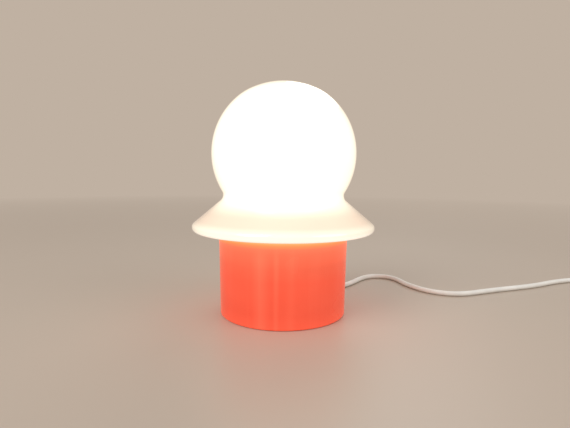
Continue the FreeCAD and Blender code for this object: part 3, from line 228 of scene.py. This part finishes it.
class Material:
    """Principled material whose colour, roughness and bump come from nodes in object space."""

    def __init__(self, name):
        self.data = bpy.data.materials.new(name)
        self.data.use_nodes = True
        self.tree = self.data.node_tree
        self.shader = self.tree.nodes["Principled BSDF"]
        self.place = self.node("ShaderNodeTexCoord").outputs["Object"]

    def node(self, kind, **values):
        made = self.tree.nodes.new(kind)
        for key, value in values.items():
            setattr(made, key, value)
        return made

    def link(self, source, target):
        self.tree.links.new(source, target)

    def set(self, **values):
        """Sets the shader's own sockets: an underscore stands for a blank."""
        for key, value in values.items():
            self.shader.inputs[key.replace("_", " ")].default_value = value

    def feed(self, **sources):
        """Links node outputs to the shader's own sockets: an underscore stands for a blank."""
        for key, source in sources.items():
            self.link(source, self.shader.inputs[key.replace("_", " ")])

    def stretched(self, scale):
        """Object coordinates, scaled along each axis."""
        mapping = self.node("ShaderNodeMapping")
        mapping.inputs["Scale"].default_value = scale
        self.link(self.place, mapping.inputs["Vector"])
        return mapping.outputs["Vector"]

    def noise(self, scale, detail=3.0, roughness=0.5, place=None):
        made = self.node("ShaderNodeTexNoise")
        made.inputs["Scale"].default_value = scale
        made.inputs["Detail"].default_value = detail
        made.inputs["Roughness"].default_value = roughness
        self.link(place or self.place, made.inputs["Vector"])
        return made.outputs["Fac"]

    def math(self, operation, *values):
        """Result of a maths node on one or two values, each a number or another node's output."""
        made = self.node("ShaderNodeMath", operation=operation)
        for socket, value in zip(made.inputs, values):
            if isinstance(value, (int, float)):
                socket.default_value = value
            else:
                self.link(value, socket)
        return made.outputs[0]

    def spread(self, value, low, high, from_low=0.3, from_high=0.7, curve="LINEAR"):
        """Maps a value's usual range to another one."""
        made = self.node("ShaderNodeMapRange", interpolation_type=curve)
        self.link(value, made.inputs["Value"])
        for key, number in (
            ("From Min", from_low), ("From Max", from_high), ("To Min", low), ("To Max", high),
        ):
            made.inputs[key].default_value = number
        return made.outputs["Result"]

    def ramp(self, factor, stops, smooth=True):
        """Colour from (place, colour) stops, eased between them or in straight lines."""
        made = self.node("ShaderNodeValToRGB")
        made.color_ramp.interpolation = "EASE" if smooth else "LINEAR"
        elements = made.color_ramp.elements
        while len(elements) < len(stops):
            elements.new(0.5)
        for element, (place, shade) in zip(elements, stops):
            element.position = place
            element.color = shade
        self.link(factor, made.inputs["Fac"])
        return made.outputs["Color"]

    def multiply(self, first, second):
        """Product of two colours: a colour mix keeps its factor at 0, its colours at 6 and 7."""
        made = self.node("ShaderNodeMix", data_type="RGBA", blend_type="MULTIPLY")
        made.inputs[0].default_value = 1.0
        self.link(first, made.inputs[6])
        self.link(second, made.inputs[7])
        return made.outputs[2]

    def axes(self):
        """Object coordinates one by one: the height above the table at rest is Z, in metres."""
        made = self.node("ShaderNodeSeparateXYZ")
        self.link(self.place, made.inputs["Vector"])
        return made.outputs

    def line(self, angle, middle, half_width, strength):
        """Soft line down a round wall, at an angle from the front in degrees."""
        away = self.math("ABSOLUTE", self.math("SUBTRACT", angle, middle))
        return self.spread(away, strength, 0.0, 0.0, half_width, "SMOOTHSTEP")

    def bump(self, height, strength, distance):
        made = self.node("ShaderNodeBump")
        made.inputs["Strength"].default_value = strength
        made.inputs["Distance"].default_value = distance
        self.link(height, made.inputs["Height"])
        self.link(made.outputs["Normal"], self.shader.inputs["Normal"])


def tinted(shade, factor):
    """Lighter or darker colour."""
    return tuple(min(1.0, value * factor) for value in shade[:3]) + (1.0,)


def moulded(name, shade, roughness, grain=900.0, depth=0.00004, mottle=0.04, **sockets):
    """Moulded or sheet material: slight mottling, uneven gloss and a fine grain."""
    made = Material(name)
    colours = [(0.3, tinted(shade, 1 - mottle)), (0.7, tinted(shade, 1 + mottle))]
    gloss = made.spread(made.noise(180.0), roughness * 0.85, roughness * 1.15)
    made.feed(Base_Color=made.ramp(made.noise(60.0, 4.0), colours), Roughness=gloss)
    made.bump(made.noise(grain, 2.0), 0.35, depth)
    made.set(**sockets)
    return made.data


def brushed(name, shade, roughness, stretch=(40.0, 900.0, 40.0)):
    """Metal with fine scratches along one direction."""
    made = Material(name)
    scratch = made.noise(1.0, 5.0, 0.6, made.stretched(stretch))
    colours = [(0.25, tinted(shade, 0.82)), (0.75, tinted(shade, 1.1))]
    gloss = made.spread(scratch, roughness * 0.7, roughness * 1.4)
    made.feed(Base_Color=made.ramp(scratch, colours), Roughness=gloss)
    made.bump(scratch, 0.2, 0.00003)
    made.set(Metallic=1.0)
    return made.data


def opal_glass():
    """Lit opal glass with glow and body colour painted by height: white over the bulb, creamier on the
    flare as painted shade, bright again on the rolled rim.
    """
    made = Material("opal_glass")
    low, high = (corner.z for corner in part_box("glass_shade"))
    rim_low, rim_top, flare_low, flare_high, neck = 0.0800, 0.0840, 0.0905, 0.0950, 0.1128
    heights = [(z - low) / (high - low) for z in (rim_low, rim_top, flare_low, flare_high, neck)]
    glows = (RIM_LOW_GLOW, RIM_GLOW, FLARE_GLOW, FLARE_GLOW, BALL_GLOW)
    bodies_with_painted_shade = (OPAL_WHITE, OPAL_WHITE, OPAL_PAINTED_SHADE_CREAM, OPAL_PAINTED_SHADE_CREAM, OPAL_WHITE)
    share = made.spread(made.axes()["Z"], 0.0, 1.0, low, high)
    # Glow painted by height, and body colour with painted shade on the flare
    glow = made.ramp(share, list(zip(heights, glows)))
    body = made.ramp(share, list(zip(heights, bodies_with_painted_shade)))
    swirl = made.noise(22.0, 2.0, 0.4, made.stretched((1.0, 1.0, 1.6)))
    tone = made.ramp(swirl, [(0.3, (0.96, 0.96, 0.96, 1.0)), (0.7, (1.0, 1.0, 1.0, 1.0))])
    made.feed(
        Base_Color=made.multiply(body, tone), Roughness=made.spread(swirl, 0.10, 0.16), Emission_Color=glow,
    )
    made.bump(swirl, 0.12, 0.0006)
    made.set(Emission_Strength=1.0, Coat_Weight=1.0, Coat_Roughness=0.03, Coat_Tint=COAT_CREAM)
    return made.data


def coral_plastic():
    """Translucent coral: a painted glow makes it orange under the shade, and soft lighter lines run down
    its wall.
    """
    made = Material("coral_plastic")
    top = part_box("base_drum")[1].z
    lines_fade, lines_end = 0.060, 0.073
    axes = made.axes()
    front = made.math("MULTIPLY", axes["Y"], -1.0)
    angle = made.math("DEGREES", made.math("ARCTAN2", axes["X"], front))
    streaks = made.noise(1.0, 2.0, 0.5, made.stretched((115.0, 115.0, 3.0)))
    tone = made.spread(streaks, 0.0, 0.16, 0.54, 0.72)
    for middle, half_width, strength in DRUM_LINES:
        tone = made.math("ADD", tone, made.line(angle, middle, half_width, strength))
    tone = made.math("MULTIPLY", tone, made.spread(axes["Z"], 1.0, 0.0, lines_fade, lines_end))
    clouds = made.noise(26.0, 2.0)
    tone = made.math("ADD", tone, made.spread(clouds, 0.0, 0.2))
    share = made.spread(axes["Z"], 0.0, 1.0, 0.0, top)
    stops = [(place, tinted(shade, level)) for place, shade, level in DRUM_PAINTED_GLOW]
    # Painted glow of the shade's light on the drum, brighter along the lines and clouds
    glow = made.multiply(made.ramp(share, stops, False), made.spread(tone, 0.96, 1.22, 0.0, 1.0))
    made.feed(
        Base_Color=made.ramp(tone, [(0.0, CORAL), (1.0, CORAL_LIGHT)], False),
        Roughness=made.spread(clouds, 0.20, 0.28),
        Emission_Color=glow,
    )
    made.bump(streaks, 0.08, 0.0003)
    made.set(Emission_Strength=1.0, Specular_IOR_Level=0.12, Coat_Weight=0.04, Coat_Roughness=0.08)
    return made.data


def lit_bulb():
    """Lit opal bulb: a warm white glow with faint clouds in it."""
    made = Material("bulb_opal")
    cloud = made.noise(40.0, 2.0)
    glows = [(0.3, colour(255, 246, 226)), (0.7, colour(255, 250, 236))]
    made.feed(Emission_Color=made.ramp(cloud, glows), Roughness=made.spread(cloud, 0.15, 0.22))
    made.set(Base_Color=OPAL_WHITE, Emission_Strength=1.0, Coat_Weight=0.5)
    return made.data


def make_materials():
    """Materials by the record's slot."""
    return {
        "coral_plastic": coral_plastic(),
        "opal_glass": opal_glass(),
        "zinc_steel": brushed("zinc_steel", colour(186, 189, 192), 0.38, (700.0, 30.0, 30.0)),
        "screw_steel": brushed("screw_steel", colour(176, 176, 174), 0.34),
        "rubber": moulded("rubber", colour(206, 203, 196), 0.62, 1500.0, 0.00006),
        "holder_plastic": moulded("holder_plastic", colour(232, 229, 220), 0.3, 1200.0),
        "ceramic": moulded("ceramic", colour(238, 234, 224), 0.18, 500.0),
        "brass": brushed("brass", colour(214, 172, 92), 0.28),
        "cord_rubber": moulded("cord_rubber", colour(234, 231, 222), 0.5, 1300.0, 0.00005),
        "cord_vinyl": moulded("cord_vinyl", PALE_VINYL, 0.42, Specular_IOR_Level=0.45),
        "live_insulation": moulded("live_insulation", colour(122, 74, 44), 0.4),
        "neutral_insulation": moulded("neutral_insulation", colour(62, 104, 168), 0.4),
        "bulb_opal": lit_bulb(),
        "black_glass": moulded("black_glass", colour(22, 22, 25), 0.12, 400.0),
        "solder": brushed("solder", colour(168, 168, 168), 0.45, (90.0, 90.0, 90.0)),
        "clear_glass": moulded("clear_glass", colour(236, 240, 240), 0.05, 300.0, Transmission_Weight=1.0),
        "filament_metal": brushed("filament_metal", colour(226, 206, 170), 0.3),
        "tie_plastic": moulded("tie_plastic", colour(228, 225, 216), 0.5, 1400.0, 0.00006),
        "switch_plastic": moulded("switch_plastic", colour(238, 235, 227), 0.34, 1500.0, 0.00006),
        "rocker_plastic": moulded("rocker_plastic", colour(231, 227, 217), 0.22, 900.0),
        "plug_plastic": moulded("plug_plastic", colour(237, 234, 226), 0.44, 1300.0, 0.00006),
        "pin_metal": brushed("pin_metal", colour(206, 204, 200), 0.2, (60.0, 60.0, 900.0)),
        "pin_sleeve": moulded("pin_sleeve", colour(34, 34, 36), 0.4),
    }


def dress_nodes(materials):
    """Gives every CAD node the material of its slot."""
    for row in frame["record"]["subparts"]:
        node = nodes[row["node"]]
        node.data.materials.clear()
        node.data.materials.append(materials[row["material_slot"]])


def make_cords(materials):
    """The lead from the drum to the switch, and the rest of it with the coil and the plug."""
    vinyl = materials["cord_vinyl"]
    lead = cord("mains_lead", LEAD_ROUTE, vinyl)
    tail = cord("mains_tail", LINK_ROUTE + coil_points() + END_ROUTE, vinyl)
    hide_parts("cord_lead")
    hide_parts("cord_link", "cord_coil", "cord_end")
    for piece in (lead, tail):
        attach(piece, "base")


def threaded(name, outline, low, high):
    """Thin brass turned from (radius, height) corners, with a rolled round thread between two heights."""
    steps, rows_per_turn, run_out, sharp = 48, 10, 0.0012, math.radians(40)
    rows = []
    for (radius, z), (next_radius, next_z) in zip(outline, outline[1:] + outline[:1]):
        parts = max(1, round(abs(next_z - z) * rows_per_turn / THREAD_PITCH))
        for k in range(parts):
            share = k / parts
            rows.append((radius + (next_radius - radius) * share, z + (next_z - z) * share))
    places = []
    for radius, z in rows:
        cut = THREAD_DEPTH * max(0.0, min(1.0, (z - low) / run_out, (high - z) / run_out))
        for k in range(steps):
            turn = k / steps
            groove = 0.5 - 0.5 * math.cos(math.tau * (z / THREAD_PITCH - turn))
            reach = radius - cut * groove
            places.append((reach * math.cos(math.tau * turn), reach * math.sin(math.tau * turn), z))
    faces = []
    for row in range(len(rows)):
        start, above = row * steps, (row + 1) % len(rows) * steps
        for k in range(steps):
            beside = (k + 1) % steps
            faces.append((start + k, start + beside, above + beside, above + k))
    data = bpy.data.meshes.new(name)
    data.from_pydata(places, [], faces)
    data.shade_smooth()
    data.set_sharp_from_angle(angle=sharp)
    piece = bpy.data.objects.new(name, data)
    bpy.context.scene.collection.objects.link(piece)
    return piece


def make_threads(materials):
    """The bulb's cap and the lampholder's sleeve with their screw thread, in place of the plain ones."""
    cap_low, cap_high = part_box("bulb_cap")
    low, high, crest = cap_low.z, cap_high.z, cap_high.x
    root = crest - THREAD_DEPTH
    hole, foot = 0.0052, 0.0060
    rise, bend, widen = 0.0012, 0.0003, 0.0012
    start, stop = 0.0014, 0.0150
    cap = threaded(
        "threaded_cap",
        [
            (hole, low),
            (foot, low),
            (root, low + rise),
            (root, low + start),
            (crest, low + start + widen),
            (crest, high),
            (crest - BRASS_SHEET, high),
            (crest - BRASS_SHEET, low + start + widen),
            (root - BRASS_SHEET, low + start),
            (root - BRASS_SHEET, low + rise + bend),
            (hole, low + BRASS_SHEET),
        ],
        low + start,
        low + stop,
    )
    sleeve_low, sleeve_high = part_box("thread_sleeve")
    low, high, flange = sleeve_low.z, sleeve_high.z, sleeve_high.x
    bore, flare, margin = 0.00725, 0.0008, 0.0010
    outer = bore + BRASS_SHEET
    sleeve = threaded(
        "threaded_sleeve",
        [
            (bore, low),
            (flange, low),
            (flange, low + BRASS_SHEET),
            (outer, low + BRASS_SHEET),
            (outer, high - flare),
            (outer + BRASS_SHEET, high),
            (bore + BRASS_SHEET, high),
            (bore, high - flare),
        ],
        low + margin,
        high - margin,
    )
    for piece, node, body in ((cap, "bulb_cap", "bulb"), (sleeve, "thread_sleeve", "base")):
        piece.data.materials.append(materials["brass"])
        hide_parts(node)
        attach(piece, body)


def floor():
    """Pale matt floor that keeps the lamp's shadow and fades into the background far away."""
    reach, fade_start, fade_end = 12.0, 0.7, 2.2
    data = bpy.data.meshes.new("floor")
    corners = [(-reach, -reach, 0), (reach, -reach, 0), (reach, reach, 0), (-reach, reach, 0)]
    data.from_pydata(corners, [], [(0, 1, 2, 3)])
    piece = bpy.data.objects.new("floor", data)
    bpy.context.scene.collection.objects.link(piece)
    made = Material("floor")
    cloud = made.noise(3.0, 4.0)
    tones = [(0.3, tinted(FLOOR, 0.985)), (0.7, FLOOR)]
    made.feed(Base_Color=made.ramp(cloud, tones), Roughness=made.spread(cloud, 0.36, 0.42))
    made.set(Specular_IOR_Level=0.4)
    distance = made.node("ShaderNodeVectorMath", operation="LENGTH")
    made.link(made.place, distance.inputs[0])
    far = made.spread(distance.outputs["Value"], 0.0, 1.0, fade_start, fade_end)
    seen = made.node("ShaderNodeEmission")
    seen.inputs["Color"].default_value = BACKGROUND
    mixed = made.node("ShaderNodeMixShader")
    made.link(far, mixed.inputs["Fac"])
    made.link(made.shader.outputs[0], mixed.inputs[1])
    made.link(seen.outputs[0], mixed.inputs[2])
    made.link(mixed.outputs[0], made.tree.nodes["Material Output"].inputs["Surface"])
    data.materials.append(made.data)


def studio_world():
    """Soft even light, with the pale background seen by the camera and in gloss and glass."""
    light_level = 0.5
    world = bpy.data.worlds.new("studio")
    world.use_nodes = True
    tree = world.node_tree
    lit = tree.nodes["Background"]
    lit.inputs["Color"].default_value = SOFT_WHITE
    lit.inputs["Strength"].default_value = light_level
    seen = tree.nodes.new("ShaderNodeBackground")
    seen.inputs["Color"].default_value = BACKGROUND
    path = tree.nodes.new("ShaderNodeLightPath")
    rays = path.outputs["Is Camera Ray"]
    for name in ("Is Glossy Ray", "Is Transmission Ray"):
        either = tree.nodes.new("ShaderNodeMath")
        either.operation = "MAXIMUM"
        tree.links.new(rays, either.inputs[0])
        tree.links.new(path.outputs[name], either.inputs[1])
        rays = either.outputs[0]
    mixed = tree.nodes.new("ShaderNodeMixShader")
    tree.links.new(rays, mixed.inputs["Fac"])
    tree.links.new(lit.outputs[0], mixed.inputs[1])
    tree.links.new(seen.outputs[0], mixed.inputs[2])
    tree.links.new(mixed.outputs[0], tree.nodes["World Output"].inputs["Surface"])
    bpy.context.scene.world = world


def softbox(name, place, target, size, watts):
    """Round white area light at a place, turned to a target."""
    data = bpy.data.lights.new(name, "AREA")
    data.shape = "DISK"
    data.size = size
    data.energy = watts
    lamp = bpy.data.objects.new(name, data)
    lamp.location = place
    lamp.rotation_euler = (Vector(target) - Vector(place)).to_track_quat("-Z", "Y").to_euler()
    bpy.context.scene.collection.objects.link(lamp)


def lights():
    """Key from the left, fill from the right and a weak light from behind."""
    middle = (0.0, 0.0, 0.1)
    softbox("key_light", (-1.2, -1.3, 1.5), middle, 1.4, 20.5)
    softbox("fill_light", (1.6, -0.9, 1.0), middle, 1.6, 8.5)
    softbox("back_light", (0.6, 1.7, 1.5), middle, 1.2, 6.0)


bpy.context.scene.view_settings.view_transform = "Standard"
camera()
slot_materials = make_materials()
dress_nodes(slot_materials)
make_cords(slot_materials)
make_threads(slot_materials)
studio_world()
lights()
floor()
